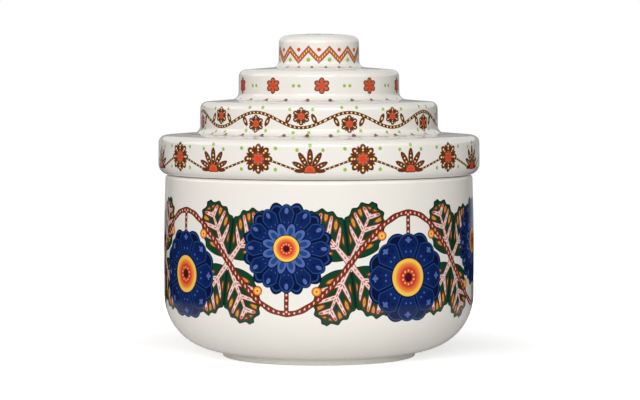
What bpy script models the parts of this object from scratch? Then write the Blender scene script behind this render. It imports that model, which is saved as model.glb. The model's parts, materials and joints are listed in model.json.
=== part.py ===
"""A lidded storage jar in glazed porcelain.

The jar stands on a foot ring at Z = 0, with its axis on Z. It is two ceramic pieces: a round
open body, and a lid that rises in four steps to its knob. Each was cast hollow, so each is a wall
of even thickness, and its section is drawn here as one outer line and a line parallel to it.
Sections are lists of corners (radius, height, rounding), which run upwards on the outside, so
that the material lies to their left. All lengths are in metres.
"""

import bmesh
import bpy
from math import acos, atan2, ceil, cos, pi, radians, sin, tan
from mathutils import Vector

MM = 0.001

# The body: its outer line, from the foot ring up to the rim
FOOT_RADIUS = 46.7 * MM
FOOT_WIDTH = 4.2 * MM
FOOT_RECESS = 2.0 * MM
FOOT_ROUND = 0.9 * MM
FOOT_FILLET = 2.6 * MM
RECESS_FILLET = 1.1 * MM
BASE_RADIUS = 53.2 * MM
BASE_HEIGHT = 3.5 * MM
BASE_ROUND = 20.0 * MM
HEEL_HEIGHT = 11.6 * MM
HEEL_ROUND = 26.6 * MM
BELLY_RADIUS = 74.9 * MM
BELLY_HEIGHT = 62.0 * MM
BELLY_ROUND = 400.0 * MM
RIM_RADIUS = 74.2 * MM
RIM_HEIGHT = 88.1 * MM
RIM_ROUND = 1.9 * MM
BODY_WALL = 4.2 * MM

# The lid: how it sits on the body
SEAT_GAP = 0.3 * MM
LID_OVERHANG = 3.45 * MM
LID_WALL = 4.0 * MM
FLANGE_CLEARANCE = 1.2 * MM
FLANGE_DEPTH = 8.0 * MM
FLANGE_ROUND = 1.5 * MM
FLANGE_FILLET = 1.5 * MM

# The lid: its four steps, from the rim step up to the knob
RIM_STEP_HEIGHT = 18.3 * MM
RIM_STEP_EDGE = 3.6 * MM
RIM_STEP_LOWER_EDGE = 5.0 * MM
MIDDLE_STEP_RADIUS = 57.5 * MM
MIDDLE_STEP_HEIGHT = 16.15 * MM
MIDDLE_STEP_EDGE = 3.4 * MM
MIDDLE_STEP_FILLET = 3.4 * MM
UPPER_STEP_RADIUS = 38.9 * MM
UPPER_STEP_HEIGHT = 15.45 * MM
UPPER_STEP_EDGE = 3.6 * MM
UPPER_STEP_FILLET = 3.4 * MM
KNOB_RADIUS = 19.5 * MM
KNOB_HEIGHT = 16.3 * MM
KNOB_EDGE = 3.8 * MM
KNOB_FILLET = 3.0 * MM
KNOB_CROWN = 1.1 * MM
KNOB_CROWN_RADIUS = 9.0 * MM
KNOB_CROWN_ROUND = 80.0 * MM
STEP_DRAFT = 0.2 * MM
STEP_RISE = 1.5 * MM

# What casting and faceting do to every section
LEAST_ROUND = 1.2 * MM
ARC_ERROR = 0.14 * MM
ROUND_STEPS = 56
MERGE_DISTANCE = 0.005 * MM

GLAZE_COLOUR = (0.87, 0.86, 0.82, 1.0)
GLAZE_ROUGHNESS = 0.12


def parallel(corners, distance):
    """The corners of the line that runs a distance to the left of the given one.

    A corner that turns left gets a tighter rounding by that distance, and one that turns right a
    wider one, so that the wall between the two lines is even round its corners too.
    """
    points = [Vector(corner[:2]) for corner in corners]
    ways = [(end - start).normalized() for start, end in zip(points, points[1:])]
    lefts = [Vector((-way.y, way.x)) for way in ways]
    moved = [(*(points[0] + lefts[0] * distance), corners[0][2])]
    for i in range(1, len(points) - 1):
        before, after = lefts[i - 1], lefts[i]
        place = points[i] + (before + after) * distance / (1 + before.dot(after))
        turns_left = before.cross(after) > 0
        rounding = corners[i][2] - distance if turns_left else corners[i][2] + distance
        moved.append((*place, max(rounding, LEAST_ROUND)))
    moved.append((*(points[-1] + lefts[-1] * distance), corners[-1][2]))
    return moved


def rounded(corners):
    """The points of the line through the corners, each corner cut by an arc of its rounding.

    Two arcs that would meet on a straight too short for both are made smaller together. Each
    arc has as many chords as keep it within ARC_ERROR of the true one.
    """
    points = [Vector(corner[:2]) for corner in corners]
    turns = [0.0]
    for before, point, after in zip(points, points[1:], points[2:]):
        turns.append((point - before).angle(after - point))
    turns.append(0.0)
    reaches = [corner[2] * tan(turn / 2) for corner, turn in zip(corners, turns)]
    shares = [1.0] * len(points)
    for i in range(len(points) - 1):
        both = reaches[i] + reaches[i + 1]
        share = min(1.0, (points[i + 1] - points[i]).length / max(both, MERGE_DISTANCE))
        shares[i] = min(shares[i], share)
        shares[i + 1] = min(shares[i + 1], share)
    line = [tuple(points[0])]
    for i in range(1, len(points) - 1):
        back, on = points[i - 1] - points[i], points[i + 1] - points[i]
        turn, reach = turns[i], reaches[i] * shares[i]
        if reach < MERGE_DISTANCE:
            line.append(tuple(points[i]))
            continue
        rounding = reach / tan(turn / 2)
        middle_way = (back.normalized() + on.normalized()).normalized()
        centre = points[i] + middle_way * rounding / cos(turn / 2)
        start = points[i] + back.normalized() * reach - centre
        first = atan2(start.y, start.x)
        sweep = turn if back.cross(on) < 0 else -turn
        chords = ceil(turn / (2 * acos(1 - min(ARC_ERROR / rounding, 0.3))))
        for chord in range(chords + 1):
            angle = first + sweep * chord / chords
            line.append((centre.x + rounding * cos(angle), centre.y + rounding * sin(angle)))
    line.append(tuple(points[-1]))
    return line


def body_section():
    """The body's section, from the middle of its underside round to the middle of its floor."""
    shell = [
        (0.0, BASE_HEIGHT, 0.0),
        (BASE_RADIUS, BASE_HEIGHT, BASE_ROUND),
        (BELLY_RADIUS, HEEL_HEIGHT, HEEL_ROUND),
        (BELLY_RADIUS, BELLY_HEIGHT, BELLY_ROUND),
        (RIM_RADIUS, RIM_HEIGHT, RIM_ROUND),
    ]
    foot = [
        (0.0, FOOT_RECESS, 0.0),
        (FOOT_RADIUS - FOOT_WIDTH, FOOT_RECESS, RECESS_FILLET),
        (FOOT_RADIUS - FOOT_WIDTH, 0.0, FOOT_ROUND),
        (FOOT_RADIUS, 0.0, FOOT_ROUND),
        (FOOT_RADIUS, BASE_HEIGHT, FOOT_FILLET),
    ]
    inside = parallel(shell, BODY_WALL)
    return rounded(foot + shell[1:] + inside[::-1])


def mouth_radius():
    """The radius of the body's opening, at the top of its inner wall."""
    lean = (BELLY_RADIUS - RIM_RADIUS) / (RIM_HEIGHT - BELLY_HEIGHT)
    return RIM_RADIUS - BODY_WALL / (1 + lean * lean) ** 0.5


def seat_height():
    """The height of the lid's resting face, just clear of the body's rim."""
    return RIM_HEIGHT + SEAT_GAP


def lid_section():
    """The lid's section, from the middle of its hollow round to the middle of its knob."""
    flange_radius = mouth_radius() - FLANGE_CLEARANCE
    seat = seat_height()
    outside = [
        (flange_radius, seat - FLANGE_DEPTH, FLANGE_ROUND),
        (flange_radius, seat, FLANGE_FILLET),
        (RIM_RADIUS + LID_OVERHANG, seat, RIM_STEP_LOWER_EDGE),
    ]
    steps = (
        (RIM_RADIUS + LID_OVERHANG, RIM_STEP_HEIGHT, RIM_STEP_EDGE, None),
        (MIDDLE_STEP_RADIUS, MIDDLE_STEP_HEIGHT, MIDDLE_STEP_EDGE, MIDDLE_STEP_FILLET),
        (UPPER_STEP_RADIUS, UPPER_STEP_HEIGHT, UPPER_STEP_EDGE, UPPER_STEP_FILLET),
        (KNOB_RADIUS, KNOB_HEIGHT, KNOB_EDGE, KNOB_FILLET),
    )
    top = seat
    for radius, height, edge, fillet in steps:
        if fillet is not None:
            outside.append((radius, top + STEP_RISE, fillet))
        top += height
        outside.append((radius - STEP_DRAFT, top, edge))
    outside.append((KNOB_CROWN_RADIUS, top + KNOB_CROWN, KNOB_CROWN_ROUND))
    outside.append((0.0, top + KNOB_CROWN, 0.0))
    inside = parallel(outside, LID_WALL)
    inside[-1] = (0.0, inside[-1][1], 0.0)
    return rounded(inside[::-1] + outside)


def glaze(name):
    """A white glaze, as the piece is fired."""
    material = bpy.data.materials.new(name)
    material.use_nodes = True
    shader = material.node_tree.nodes["Principled BSDF"]
    shader.inputs["Base Color"].default_value = GLAZE_COLOUR
    shader.inputs["Roughness"].default_value = GLAZE_ROUGHNESS
    shader.inputs["Metallic"].default_value = 0.0
    return material


def turned(name, section, origin_height, material):
    """A piece turned about Z from its section, with its origin on the axis."""
    shape = bmesh.new()
    points = [shape.verts.new((radius, 0.0, height - origin_height)) for radius, height in section]
    line = [shape.edges.new(pair) for pair in zip(points, points[1:])]
    bmesh.ops.spin(
        shape,
        geom=points + line,
        cent=(0.0, 0.0, 0.0),
        axis=(0.0, 0.0, 1.0),
        angle=2 * pi,
        steps=ROUND_STEPS,
    )
    bmesh.ops.remove_doubles(shape, verts=shape.verts, dist=MERGE_DISTANCE)
    bmesh.ops.recalc_face_normals(shape, faces=shape.faces)
    mesh = bpy.data.meshes.new(name)
    shape.to_mesh(mesh)
    shape.free()
    mesh.shade_smooth()
    mesh.set_sharp_from_angle(angle=radians(50))
    mesh.materials.append(material)
    piece = bpy.data.objects.new(name, mesh)
    piece.location = (0.0, 0.0, origin_height)
    bpy.context.scene.collection.objects.link(piece)
    return piece


def main():
    for old in list(bpy.data.objects):
        bpy.data.objects.remove(old)
    turned("jar_body", body_section(), 0.0, glaze("body_glaze"))
    turned("lid", lid_section(), seat_height(), glaze("lid_glaze"))


main()
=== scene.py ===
# %% [markdown]
# A storage jar in glazed porcelain, dressed for its portrait. The real jar is two ceramic pieces: a round
# body with a large curve at its heel and a low foot ring, and a hollow lid that rises in steps to a knob.
# Both were cast hollow, glazed white and printed in colours under the glaze. The frame says where the two
# pieces are and how large they are. What is made here is their fine surface, the glaze and the print.

# %% Load the frame
import json
from math import cos, pi, radians, sin, tan

import bpy
import numpy as np
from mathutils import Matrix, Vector

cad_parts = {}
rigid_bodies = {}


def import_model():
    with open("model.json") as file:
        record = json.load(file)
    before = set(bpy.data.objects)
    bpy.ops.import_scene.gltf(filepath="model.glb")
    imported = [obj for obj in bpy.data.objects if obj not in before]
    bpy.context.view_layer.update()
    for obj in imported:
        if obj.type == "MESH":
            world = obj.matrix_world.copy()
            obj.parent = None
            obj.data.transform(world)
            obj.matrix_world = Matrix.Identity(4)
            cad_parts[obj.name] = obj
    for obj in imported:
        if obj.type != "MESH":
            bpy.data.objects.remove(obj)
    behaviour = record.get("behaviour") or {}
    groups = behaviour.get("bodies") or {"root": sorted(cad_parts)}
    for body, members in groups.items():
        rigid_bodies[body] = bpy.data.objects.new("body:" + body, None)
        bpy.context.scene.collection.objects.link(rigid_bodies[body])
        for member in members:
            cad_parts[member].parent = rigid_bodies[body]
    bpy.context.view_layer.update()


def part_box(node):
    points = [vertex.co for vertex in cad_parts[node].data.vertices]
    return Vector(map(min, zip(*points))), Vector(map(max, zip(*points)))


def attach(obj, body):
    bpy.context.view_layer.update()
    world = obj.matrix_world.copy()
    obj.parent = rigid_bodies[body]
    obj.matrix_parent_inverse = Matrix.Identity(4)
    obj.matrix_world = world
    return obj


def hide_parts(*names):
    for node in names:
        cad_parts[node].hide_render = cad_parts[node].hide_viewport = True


for old in list(bpy.data.objects):
    bpy.data.objects.remove(old)
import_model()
_, body_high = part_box("jar_body")
lid_low, lid_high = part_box("lid")
MM = 0.001

# %% [markdown]
# Both pieces are round about Z, so each is one section line turned about that axis. A caster would draw
# the section as straight runs with a rounding at every corner, so it is kept that way here: a list of
# corners (radius, height, rounding). The line runs upwards on the outside, which puts the ceramic on its
# left, and the inside is the same line moved to the left by the wall. That keeps the wall even, as a cast
# wall is.

# %% A line moved by the wall
LEAST_ROUND = 1.2 * MM


def moved_left(corners, distance):
    """The corners of the line that runs a distance to the left of the given one.

    Two straight runs with left normals m and n meet, once moved, at their old corner plus (m + n) times the
    distance over (1 + m.n). A rounding shrinks by the distance where the line turns left, and grows where it
    turns right.
    """
    corners = np.array(corners, float)
    runs = np.diff(corners[:, :2], axis=0)
    lefts = np.stack([-runs[:, 1], runs[:, 0]], 1) / np.linalg.norm(runs, axis=1, keepdims=True)
    before, after = lefts[:-1], lefts[1:]
    corners[0, :2] += lefts[0] * distance
    corners[-1, :2] += lefts[-1] * distance
    corners[1:-1, :2] += (before + after) * distance / (1 + (before * after).sum(1, keepdims=True))
    turns_left = before[:, 0] * after[:, 1] > before[:, 1] * after[:, 0]
    grown = corners[1:-1, 2] + np.where(turns_left, -distance, distance)
    corners[1:-1, 2] = np.maximum(grown, LEAST_ROUND)
    return corners


print("the roundings inside are at least", round(LEAST_ROUND / MM, 1), "mm")

# %% [markdown]
# The section's corners are rounded before it is turned. A Bevel modifier could round the finished mesh,
# but an arc at each corner gives it the rounding that its mould had, with points close together in the
# bends and wide apart on the straight runs.

# %% A line with rounded corners
ARC_STEP = radians(7)
STRAIGHT_STEP = 2.5 * MM
LEAST_RUN = 0.012 * MM


def straight(start, end):
    """Points on a straight run, evenly spaced, without its first."""
    count = 2 + int(np.linalg.norm(end - start) / STRAIGHT_STEP)
    return np.linspace(start, end, count)[1:]


def arc(start, way, turn, rounding):
    """Points on an arc that leaves a point in a direction, without its first.

    After the angle a the point has moved by the rounding times sin a along the way and by the rounding times
    1 - cos a to the side that the line turns to, which is the left for a positive turn.
    """
    angles = np.linspace(0, abs(turn), 2 + int(abs(turn) / ARC_STEP))[1:, None]
    side = np.array([-way[1], way[0]]) * np.sign(turn)
    return start + rounding * (np.sin(angles) * way + (1 - np.cos(angles)) * side)


def rounded(corners):
    """The points of the line through the corners, with each corner cut by an arc of its rounding.

    An arc reaches the rounding times the tangent of half the turn along both of its runs. Two arcs that
    would meet on a run too short for both are made smaller together.
    """
    corners = np.array(corners, float)
    runs = np.diff(corners[:, :2], axis=0)
    lengths = np.linalg.norm(runs, axis=1)
    ways = runs / lengths[:, None]
    before, after = ways[:-1], ways[1:]
    turns = np.arctan2(before[:, 0] * after[:, 1] - before[:, 1] * after[:, 0], (before * after).sum(1))
    turns = np.pad(turns, 1)
    reaches = corners[:, 2] * np.tan(abs(turns) / 2)
    shares = np.minimum(1, lengths / np.maximum(reaches[:-1] + reaches[1:], LEAST_RUN))
    reaches *= np.minimum(np.append(shares, 1), np.append(1, shares))
    line = [corners[:1, :2]]
    for i in range(1, len(corners) - 1):
        line.append(straight(line[-1][-1], corners[i, :2] - ways[i - 1] * reaches[i]))
        line.append(arc(line[-1][-1], ways[i - 1], turns[i], reaches[i] / tan(abs(turns[i]) / 2)))
    line.append(straight(line[-1][-1], corners[-1, :2]))
    return np.concatenate(line)


print("an arc has a point at least every", round(float(np.degrees(ARC_STEP))), "degrees")

# %% [markdown]
# The body's sizes. Its belly is read from the frame, and so is its rim, which lies just under the lid's
# seat. What the frame doesn't tell, such as the foot ring's width or the wall, is written as a real size
# in millimetres.

# %% The body's section
FLANGE_DEPTH = 8 * MM
SEAT = lid_low.z + FLANGE_DEPTH
SEAT_GAP = 0.3 * MM
RIM_HEIGHT = SEAT - SEAT_GAP
BELLY_RADIUS = body_high.x
BODY_WALL = 4.2 * MM
RIM_LEAN = 0.7 * MM
RIM_RADIUS = BELLY_RADIUS - RIM_LEAN
RIM_ROUND = 1.9 * MM
BELLY_HEIGHT = 62 * MM
BELLY_ROUND = 400 * MM
HEEL_HEIGHT = 11.6 * MM
HEEL_ROUND = 26.6 * MM
BASE_RADIUS = 53.2 * MM
BASE_HEIGHT = 3.5 * MM
BASE_ROUND = 20 * MM
FOOT_RADIUS = 46.7 * MM
FOOT_WIDTH = 4.2 * MM
FOOT_RECESS = 2 * MM
FOOT_ROUND = 0.9 * MM
FOOT_FILLET = 2.6 * MM
RECESS_FILLET = 1.1 * MM

shell = [
    (0, BASE_HEIGHT, 0),
    (BASE_RADIUS, BASE_HEIGHT, BASE_ROUND),
    (BELLY_RADIUS, HEEL_HEIGHT, HEEL_ROUND),
    (BELLY_RADIUS, BELLY_HEIGHT, BELLY_ROUND),
    (RIM_RADIUS, RIM_HEIGHT, RIM_ROUND),
]
foot = [
    (0, FOOT_RECESS, 0),
    (FOOT_RADIUS - FOOT_WIDTH, FOOT_RECESS, RECESS_FILLET),
    (FOOT_RADIUS - FOOT_WIDTH, 0, FOOT_ROUND),
    (FOOT_RADIUS, 0, FOOT_ROUND),
    (FOOT_RADIUS, BASE_HEIGHT, FOOT_FILLET),
]
body_inside = moved_left(shell, BODY_WALL)
body_section = rounded(np.concatenate([foot, shell[1:], body_inside[::-1]]))
print("body section:", len(body_section), "points, widest", round(body_section[:, 0].max() / MM, 2), "mm")

# %% [markdown]
# The lid's sizes. Its top and the bottom of its flange are read from the frame, and its width follows the
# rim's. The flange is the ring under the lid that goes down into the mouth and keeps the lid in the
# middle. Each step has a small draft, which let it leave its mould, a rounded upper edge, and a fillet
# where it meets the step below. The frame keeps the seat a little above the rim. A real lid lies on its
# rim, so here the seat comes down to a seam as fine as the one that shows.

# %% The lid's section
LID_OVERHANG = 3.45 * MM
LID_RADIUS = RIM_RADIUS + LID_OVERHANG
LID_TOP = lid_high.z
LID_WALL = 4 * MM
SEAM = 0.1 * MM
FLANGE_CLEARANCE = 1.2 * MM
FLANGE_ROUND = 1.5 * MM
FLANGE_FILLET = 1.5 * MM
RIM_STEP_HEIGHT = 18.3 * MM
RIM_STEP_EDGE = 3.6 * MM
RIM_STEP_LOWER_EDGE = 5 * MM
MIDDLE_STEP_RADIUS = 57.5 * MM
MIDDLE_STEP_HEIGHT = 16.15 * MM
MIDDLE_STEP_EDGE = 3.4 * MM
UPPER_STEP_RADIUS = 38.9 * MM
UPPER_STEP_HEIGHT = 15.45 * MM
UPPER_STEP_EDGE = 3.6 * MM
STEP_FILLET = 3.4 * MM
KNOB_RADIUS = 19.5 * MM
KNOB_EDGE = 3.8 * MM
KNOB_FILLET = 3 * MM
KNOB_CROWN = 1.1 * MM
KNOB_CROWN_RADIUS = 9 * MM
KNOB_CROWN_ROUND = 80 * MM
STEP_DRAFT = 0.2 * MM
STEP_RISE = 1.5 * MM

seat_height = RIM_HEIGHT + SEAM
lean = RIM_LEAN / (RIM_HEIGHT - BELLY_HEIGHT)
mouth_radius = RIM_RADIUS - BODY_WALL / (1 + lean * lean) ** 0.5
flange_radius = mouth_radius - FLANGE_CLEARANCE
rim_top = SEAT + RIM_STEP_HEIGHT
middle_top = rim_top + MIDDLE_STEP_HEIGHT
upper_top = middle_top + UPPER_STEP_HEIGHT
knob_top = LID_TOP - KNOB_CROWN
lid_outside = [
    (flange_radius, lid_low.z, FLANGE_ROUND),
    (flange_radius, seat_height, FLANGE_FILLET),
    (LID_RADIUS, seat_height, RIM_STEP_LOWER_EDGE),
    (LID_RADIUS - STEP_DRAFT, rim_top, RIM_STEP_EDGE),
    (MIDDLE_STEP_RADIUS, rim_top + STEP_RISE, STEP_FILLET),
    (MIDDLE_STEP_RADIUS - STEP_DRAFT, middle_top, MIDDLE_STEP_EDGE),
    (UPPER_STEP_RADIUS, middle_top + STEP_RISE, STEP_FILLET),
    (UPPER_STEP_RADIUS - STEP_DRAFT, upper_top, UPPER_STEP_EDGE),
    (KNOB_RADIUS, upper_top + STEP_RISE, KNOB_FILLET),
    (KNOB_RADIUS - STEP_DRAFT, knob_top, KNOB_EDGE),
    (KNOB_CROWN_RADIUS, LID_TOP, KNOB_CROWN_ROUND),
    (0, LID_TOP, 0),
]
lid_inside = moved_left(lid_outside, LID_WALL)
lid_inside[-1, 0] = 0
lid_section = rounded(np.concatenate([lid_inside[::-1], lid_outside]))
print("lid section:", len(lid_section), "points, step tops in mm:")
print([round(top / MM, 2) for top in (rim_top, middle_top, upper_top, knob_top)])

# %% [markdown]
# Turning a section gives a grid: its rows are the section's points and its columns are angles round the
# jar. The grid is also unrolled onto a flat map, so that the print can be baked with most of its pixels on
# the printed walls. A band of rows becomes one strip as wide as the map, or two strips of half a turn
# each.

# %% Unroll a section onto a flat map
AROUND = 180
MAP_EDGE = 0.002
MAP_GAP = 0.012


def row_at(section, radius, height):
    """The row whose point lies nearest to a radius and a height."""
    return int(np.linalg.norm(section - [radius, height], axis=1).argmin())


def unrolled(section, bands):
    """Where the four corners of every face lie on the flat map.

    A band is (first row, last row, strips, weight). Across, a corner lies at its column's share of the
    strip. Up, it lies at its share of the band's length along the section. A strip is as high as its length
    times its weight, with all strips together filling the map.
    """
    along = np.append(0, np.cumsum(np.linalg.norm(np.diff(section, axis=0), axis=1)))
    total = sum((along[last] - along[first]) * strips * weight for first, last, strips, weight in bands)
    places = np.zeros((len(section) - 1, AROUND, 4, 2))
    columns = np.arange(AROUND)
    low = 0.0
    for first, last, strips, weight in bands:
        high = (along[last] - along[first]) * weight / total
        columns_each = AROUND // strips
        across = ((columns % columns_each)[:, None] + [0, 1, 1, 0]) / columns_each
        up = (along[first : last + 1] - along[first]) / (along[last] - along[first])
        up = MAP_GAP + (1 - 2 * MAP_GAP) * up
        up = np.stack([up[:-1], up[:-1], up[1:], up[1:]], 1)
        places[first:last, :, :, 0] = MAP_EDGE + (1 - 2 * MAP_EDGE) * across
        places[first:last, :, :, 1] = low + high * ((columns // columns_each)[:, None] + up[:, None, :])
        low += strips * high
    return places


print("a strip of the whole way round is", AROUND, "faces wide")

# %% [markdown]
# Both ends of a section lie on the axis, so each end of the grid is one vertex with a fan of triangles,
# and the surface is closed. Blender's Screw modifier could turn the line too, but a grid that is worked
# out here knows its rows, and the coats of glaze and print go by them.

# %% Turn a section into a mesh
def placed(name, data):
    """A new object in the scene, at the origin."""
    thing = bpy.data.objects.new(name, data)
    bpy.context.scene.collection.objects.link(thing)
    return thing


def mesh_piece(name, vertices, faces):
    """An object with a mesh of these vertices and faces."""
    mesh = bpy.data.meshes.new(name)
    mesh.from_pydata(vertices.tolist(), [], faces)
    return placed(name, mesh)


def turned(name, section, bands, coats):
    """A closed piece turned about Z.

    A point of the section at radius r and height z stands, at the angle a round from the front, at r sin a,
    -r cos a and z. A coat is (its material, the row where it begins).
    """
    angles = np.arange(AROUND) * 2 * pi / AROUND
    radius, height = section[1:-1].T[:, :, None]
    grid = np.broadcast_arrays(radius * np.sin(angles), -radius * np.cos(angles), height)
    bottom, top = [[0, 0, section[0, 1]]], [[0, 0, section[-1, 1]]]
    vertices = np.concatenate([bottom, np.stack(grid, 2).reshape(-1, 3), top])
    ids = np.zeros((len(section), AROUND + 1), int)
    ids[1:-1, :-1] = 1 + np.arange((len(section) - 2) * AROUND).reshape(-1, AROUND)
    ids[1:-1, -1] = ids[1:-1, 0]
    ids[-1] = len(vertices) - 1
    corners = np.stack([ids[:-1, :-1], ids[:-1, 1:], ids[1:, 1:], ids[1:, :-1]], 2)
    first_fan, last_fan = [0, 2, 3], [0, 1, 2]
    faces = corners[0][:, first_fan].tolist() + corners[1:-1].reshape(-1, 4).tolist()
    faces += corners[-1][:, last_fan].tolist()
    piece = mesh_piece(name, vertices, faces)
    mesh = piece.data
    places = unrolled(section, bands)
    flat = [places[0][:, first_fan], places[1:-1], places[-1][:, last_fan]]
    flat = np.concatenate([part.reshape(-1, 2) for part in flat])
    mesh.uv_layers.new(name="OFBake").data.foreach_set("uv", flat.ravel().astype(np.float32))
    begins = [begin for _, begin in coats]
    coat_of_row = np.searchsorted(begins, np.arange(len(section) - 1), side="right") - 1
    mesh.polygons.foreach_set("material_index", np.repeat(coat_of_row, AROUND).astype(np.int32))
    for material, _ in coats:
        mesh.materials.append(material)
    mesh.shade_smooth()
    mesh.validate()
    print(name, "has", len(mesh.polygons), "faces and", len(mesh.materials), "coats")
    return piece


print("sections are ready to be turned")

# %% [markdown]
# Shader maths reads badly as a web of nodes, so it is written here as Python. Value wraps one socket and
# knows its web of nodes, and every operator on it adds a Math node. The reflected forms take a value that
# stands last, as in 1 - mask. A sum that has no operator in Python gets a plain name. Sine and cosine take
# radians, floor is the whole number at or below a value, sign is 1 above zero and -1 below, and least and
# most are the smaller and the larger of two. angle_of(x, y) is the angle of a point from straight up,
# growing to the right. there_and_back(value, half) runs from 0 up to half, back down to 0 and so on, which
# folds a repeat onto its first half.

# %% Numbers that change over a surface
def forward(operation):
    """A function that puts a value first into a Math node."""
    return lambda value, *others: value.web.maths(operation, value, *others)


def reflected(operation):
    """A function that puts a value last into a Math node."""
    return lambda value, other: value.web.maths(operation, other, value)


class Value:
    """A socket that carries a number, with Python's own operators."""

    __add__, __radd__ = forward("ADD"), reflected("ADD")
    __sub__, __rsub__ = forward("SUBTRACT"), reflected("SUBTRACT")
    __mul__, __rmul__ = forward("MULTIPLY"), reflected("MULTIPLY")
    __truediv__, __rtruediv__ = forward("DIVIDE"), reflected("DIVIDE")
    __mod__ = forward("FLOORED_MODULO")
    __abs__ = forward("ABSOLUTE")

    def __init__(self, web, socket):
        self.web = web
        self.socket = socket

    def __neg__(self):
        return self * -1


sine, cosine = forward("SINE"), forward("COSINE")
floor, sign = forward("FLOOR"), forward("SIGN")
least, most = forward("MINIMUM"), forward("MAXIMUM")
angle_of = forward("ARCTAN2")
there_and_back = forward("PINGPONG")


def length(x, y):
    """The root of x squared plus y squared."""
    return x.web.maths("SQRT", x.web.maths("MULTIPLY_ADD", y, y, x * x))


print("values are ready")

# %% [markdown]
# Web is the web of nodes itself. Its node method adds a node of any kind: it applies the node's settings
# first, then fills its sockets with numbers, colours or other values. The methods after it call it for the
# nodes that are used most.

# %% The web of nodes
class Web:
    """A web of shader nodes and the methods that add to it."""

    def __init__(self, tree):
        self.tree = tree

    def node(self, kind, settings, sockets, output=0):
        """Adds a node, applies its settings, fills its sockets and returns one of its outputs."""
        node = self.tree.nodes.new(kind)
        for setting, value in settings.items():
            if setting == "stops":
                self.set_stops(node.color_ramp, value)
            else:
                setattr(node, setting, value)
        for key, value in sockets.items():
            self.fill(node.inputs[key], value)
        return Value(self, node.outputs[output])

    def set_stops(self, ramp, stops):
        """Gives a ramp its stops, each a place from 0 to 1 and a colour."""
        while len(ramp.elements) < len(stops):
            ramp.elements.new(1)
        for element, (place, colour) in zip(ramp.elements, stops):
            element.position = place
            element.color = colour

    def fill(self, socket, value):
        """Links a value to a socket, or sets the socket to a plain number or colour."""
        if isinstance(value, Value):
            self.tree.links.new(value.socket, socket)
        else:
            socket.default_value = value

    def maths(self, operation, *numbers):
        """Adds a Math node."""
        return self.node("ShaderNodeMath", {"operation": operation}, dict(enumerate(numbers)))

    def vectors(self, operation, sockets, output=0):
        """Adds a Vector Math node."""
        return self.node("ShaderNodeVectorMath", {"operation": operation}, sockets, output)

    def noise(self, place, scale, detail, output=0):
        """Values that drift from 0 to 1 over the surface, or three of them as a colour."""
        sockets = {"Vector": place, "Scale": scale, "Detail": detail}
        return self.node("ShaderNodeTexNoise", {}, sockets, output)

    def ramp(self, value, reach, result):
        """Goes smoothly from the first result to the second while the value crosses its reach."""
        sockets = {"Value": value, "From Min": reach[0], "From Max": reach[1]}
        sockets.update({"To Min": result[0], "To Max": result[1]})
        return self.node("ShaderNodeMapRange", {"interpolation_type": "SMOOTHSTEP"}, sockets)


print("webs are ready")

# %% [markdown]
# Finish is one material. Its base colour is built up as a decorator works, each colour laid over the last
# by a Mix node, whose factor is the colour's mask. That node has sockets of the same names for numbers,
# vectors and colours, so the colours' sockets are picked by their places in its lists.

# %% The finish
COLOUR_BELOW = 6
COLOUR_ABOVE = 7
COLOUR_RESULT = 2


class Finish(Web):
    """One material and the colour painted on it so far."""

    def __init__(self, name, colour):
        self.material = bpy.data.materials.new(name)
        self.material.use_nodes = True
        super().__init__(self.material.node_tree)
        self.shader = self.tree.nodes["Principled BSDF"]
        self.colour = colour

    def feed(self, name, value):
        """Fills a socket of the material's shader."""
        self.fill(self.shader.inputs[name], value)

    def place(self):
        """The point on the piece, in metres."""
        return self.node("ShaderNodeTexCoord", {}, {}, "Object")

    def paint(self, mask, colour):
        """Lays a colour over what is painted so far, where the mask is 1."""
        sockets = {"Factor": mask, COLOUR_BELOW: self.colour, COLOUR_ABOVE: colour}
        self.colour = self.node("ShaderNodeMix", {"data_type": "RGBA"}, sockets, COLOUR_RESULT)


print("finishes are ready")

# %% [markdown]
# Every motif is drawn from distances. A shape is the set of points whose distance to its outline, in
# millimetres, is below zero, and its mask runs from 1 to 0 over the narrow soft edge that printed ink has.
# A line is a distance whose size is below half the line's thickness. The smaller of two distances joins
# two shapes, and the larger keeps what they share. A shape is left out of a cell by moving its outline far
# off. The print could be an image laid on the jar instead, but drawn from sums it stays sharp from any
# distance.

# %% Masks
INK_EDGE = 0.14
FAR_OFF = 99


def cover(distance):
    """The mask of a shape: a half minus the distance over the edge's softness, kept from 0 to 1."""
    settings = {"operation": "MULTIPLY_ADD", "use_clamp": True}
    return distance.web.node("ShaderNodeMath", settings, {0: distance, 1: -1 / INK_EDGE, 2: 0.5})


def draw(distance, colour):
    """Paints a shape in a colour, on the finish that its distance belongs to."""
    distance.web.paint(cover(distance), colour)


def rings(distance, steps):
    """Paints a shape again and again, each time grown by so many millimetres and in a colour of its own."""
    for growth, colour in steps:
        draw(distance - growth, colour)


print("ink goes soft over", INK_EDGE, "mm")

# %% [markdown]
# A few small shapes serve all the motifs. What repeats round a middle is folded onto one petal, and what
# repeats along a line is folded onto one step, so each is drawn once for all its repeats.

# %% Small shapes
def spoke(away, turn):
    """How far a point lies along a spoke and across it: its distance times its angle's cosine and sine."""
    return away * cosine(turn), away * sine(turn)


def folded(x, y, half):
    """How far a point lies from a flower's middle, and its place on two spokes.

    The angle is folded there and back over half a petal's. The first spoke is the middle line of the nearest
    petal, and the second is the line between two petals.
    """
    away = length(x, y)
    fold = there_and_back(angle_of(x, y), half)
    return away, spoke(away, fold), spoke(away, half - fold)


def spot(along, across, middle, radius):
    """The distance to a round spot whose middle lies so far along: that to its middle, less its radius."""
    return length(along - middle, across) - radius


def line_inside(distance, inset, half):
    """The distance to a line that runs inside a shape's outline, from how far inside it runs."""
    return abs(distance + inset) - half


def beads(along, across, step, radius):
    """The distance to a row of round beads at equal steps, of which the first is half a step along."""
    return length(along % step - step / 2, across) - radius


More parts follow.
